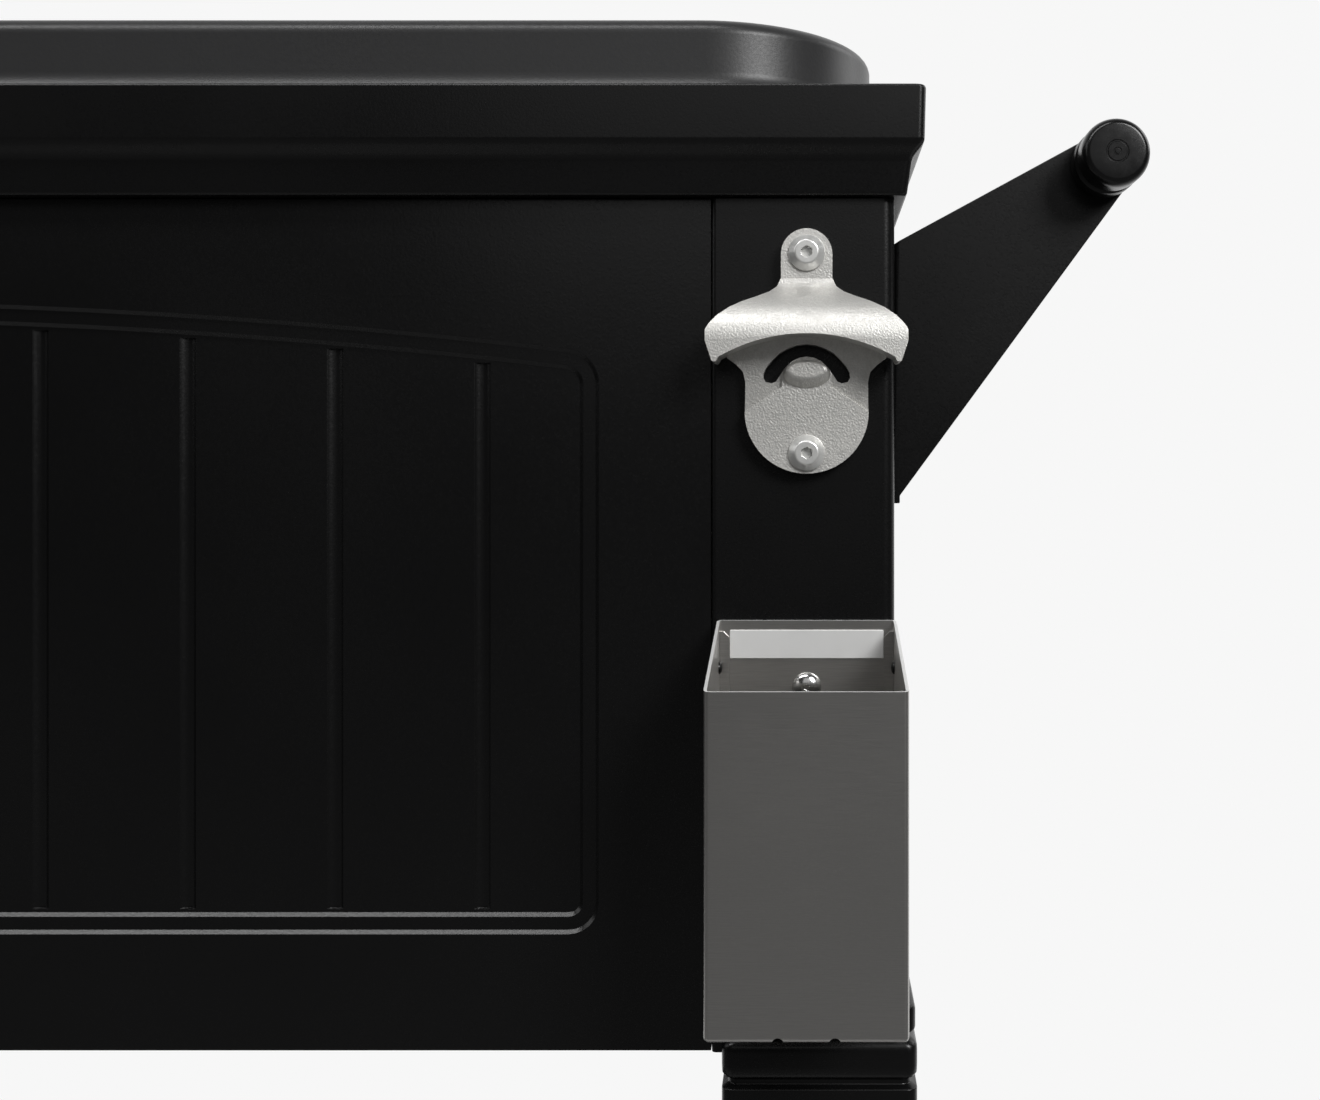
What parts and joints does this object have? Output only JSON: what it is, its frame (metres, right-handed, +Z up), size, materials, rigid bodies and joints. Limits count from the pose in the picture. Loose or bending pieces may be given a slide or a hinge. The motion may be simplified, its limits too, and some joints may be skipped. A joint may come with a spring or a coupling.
{
  "type": "rolling patio cooler chest",
  "caption": "Insulated furniture-style cooler chest on casters, with hinged lids, push handle, lower shelf, wall-type bottle opener and cap catcher.",
  "frame": {"origin": "middle of the bounding box's footprint, on the floor", "axes": "+Z up, +X towards the push handle, -Y towards the front with the bottle opener"},
  "size_m": [0.9004, 0.4742, 0.9423],
  "materials": {
    "black_enamel": "satin powder coat",
    "black_frame": "satin powder coat",
    "cast_silver": "fine cast, tumbled",
    "brushed_stainless": "brushed",
    "zinc_steel": "zinc plated",
    "basin_steel": "satin stainless sheet",
    "foam_white": "insulating foam",
    "liner_plastic": "moulded, light grey",
    "gasket_rubber": "matte",
    "wheel_rubber": "satin",
    "brake_plastic": "moulded, red",
    "drain_plastic": "moulded, black"
  },
  "bodies": {
    "chest": {"front_panel": "black_enamel", "back_panel": "black_enamel", "left_panel": "black_enamel", "right_panel": "black_enamel", "bottom_pan": "black_enamel", "shelf": "black_enamel", "cornice_frame": "black_frame", "centre_bridge": "black_frame", "handle_bar": "black_frame", "handle_bracket_front": "black_frame", "handle_bracket_rear": "black_frame", "handle_end_front": "black_frame", "handle_end_rear": "black_frame", "bracket_bolt_front_lower": "black_frame", "bracket_bolt_front_upper": "black_frame", "bracket_bolt_rear_lower": "black_frame", "bracket_bolt_rear_upper": "black_frame", "corner_post_front_right": "black_frame", "leg_front_right": "black_frame", "corner_post_back_right": "black_frame", "leg_back_right": "black_frame", "corner_post_back_left": "black_frame", "leg_back_left": "black_frame", "corner_post_front_left": "black_frame", "leg_front_left": "black_frame", "hinge_rod_left": "zinc_steel", "hinge_rod_right": "zinc_steel", "basin": "basin_steel", "foam_jacket": "foam_white", "cap_catcher": "brushed_stainless", "catcher_screw": "brushed_stainless", "opener_screw_lower": "brushed_stainless", "opener_screw_upper": "brushed_stainless", "bottle_opener": "cast_silver", "drain_spout": "drain_plastic"},
    "lid_left": {"lid_left_skin": "black_enamel", "lid_left_liner": "liner_plastic", "lid_left_foam": "foam_white", "lid_left_gasket": "gasket_rubber", "lid_left_handle": "brushed_stainless"},
    "lid_right": {"lid_right_skin": "black_enamel", "lid_right_liner": "liner_plastic", "lid_right_foam": "foam_white", "lid_right_gasket": "gasket_rubber", "lid_right_handle": "brushed_stainless"},
    "caster_front_right": {"caster_front_right_fork": "zinc_steel", "caster_front_right_axle": "zinc_steel"},
    "wheel_front_right": {"caster_front_right_wheel": "wheel_rubber"},
    "caster_back_right": {"caster_back_right_fork": "zinc_steel", "caster_back_right_axle": "zinc_steel"},
    "wheel_back_right": {"caster_back_right_wheel": "wheel_rubber"},
    "caster_back_left": {"caster_back_left_fork": "zinc_steel", "caster_back_left_axle": "zinc_steel"},
    "wheel_back_left": {"caster_back_left_wheel": "wheel_rubber"},
    "caster_front_left": {"caster_front_left_fork": "zinc_steel", "caster_front_left_axle": "zinc_steel"},
    "wheel_front_left": {"caster_front_left_wheel": "wheel_rubber"},
    "brake_front_left": {"caster_front_left_brake": "brake_plastic"},
    "brake_front_right": {"caster_front_right_brake": "brake_plastic"},
    "drain_cap": {"drain_cap": "drain_plastic"}
  },
  "joints": [
    {"name": "lid_right_hinge", "type": "hinge", "parent": "chest", "child": "lid_right", "pos_m": [-0.00025, 0.02715, 0.934], "axis": [0, -1, 0], "range_deg": [0, 90]},
    {"name": "lid_left_hinge", "type": "hinge", "parent": "chest", "child": "lid_left", "pos_m": [-0.06825, 0.02715, 0.934], "axis": [0, 1, 0], "range_deg": [0, 90]},
    {"name": "swivel_front_right", "type": "hinge", "parent": "chest", "child": "caster_front_right", "pos_m": [0.3359, -0.147, 0.09], "axis": [0, 0, 1], "continuous": true},
    {"name": "roll_front_right", "type": "hinge", "parent": "caster_front_right", "child": "wheel_front_right", "pos_m": [0.3609, -0.147, 0.0375], "axis": [0, 1, 0], "continuous": true},
    {"name": "swivel_back_right", "type": "hinge", "parent": "chest", "child": "caster_back_right", "pos_m": [0.3359, 0.2013, 0.09], "axis": [0, 0, 1], "continuous": true},
    {"name": "roll_back_right", "type": "hinge", "parent": "caster_back_right", "child": "wheel_back_right", "pos_m": [0.3609, 0.2013, 0.0375], "axis": [0, 1, 0], "continuous": true},
    {"name": "swivel_back_left", "type": "hinge", "parent": "chest", "child": "caster_back_left", "pos_m": [-0.4044, 0.2013, 0.09], "axis": [0, 0, 1], "continuous": true},
    {"name": "roll_back_left", "type": "hinge", "parent": "caster_back_left", "child": "wheel_back_left", "pos_m": [-0.3794, 0.2013, 0.0375], "axis": [0, 1, 0], "continuous": true},
    {"name": "swivel_front_left", "type": "hinge", "parent": "chest", "child": "caster_front_left", "pos_m": [-0.4044, -0.147, 0.09], "axis": [0, 0, 1], "continuous": true},
    {"name": "roll_front_left", "type": "hinge", "parent": "caster_front_left", "child": "wheel_front_left", "pos_m": [-0.3794, -0.147, 0.0375], "axis": [0, 1, 0], "continuous": true},
    {"name": "brake_press_front_left", "type": "hinge", "parent": "caster_front_left", "child": "brake_front_left", "pos_m": [-0.3684, -0.147, 0.081], "axis": [0, 1, 0], "range_deg": [0, 11]},
    {"name": "brake_press_front_right", "type": "hinge", "parent": "caster_front_right", "child": "brake_front_right", "pos_m": [0.3719, -0.147, 0.081], "axis": [0, 1, 0], "range_deg": [0, 11]},
    {"name": "drain_cap_turn", "type": "hinge", "parent": "chest", "child": "drain_cap", "pos_m": [-0.32425, 0.13215, 0.565], "axis": [0, 0, 1], "range_deg": [0, 720]}
  ]
}
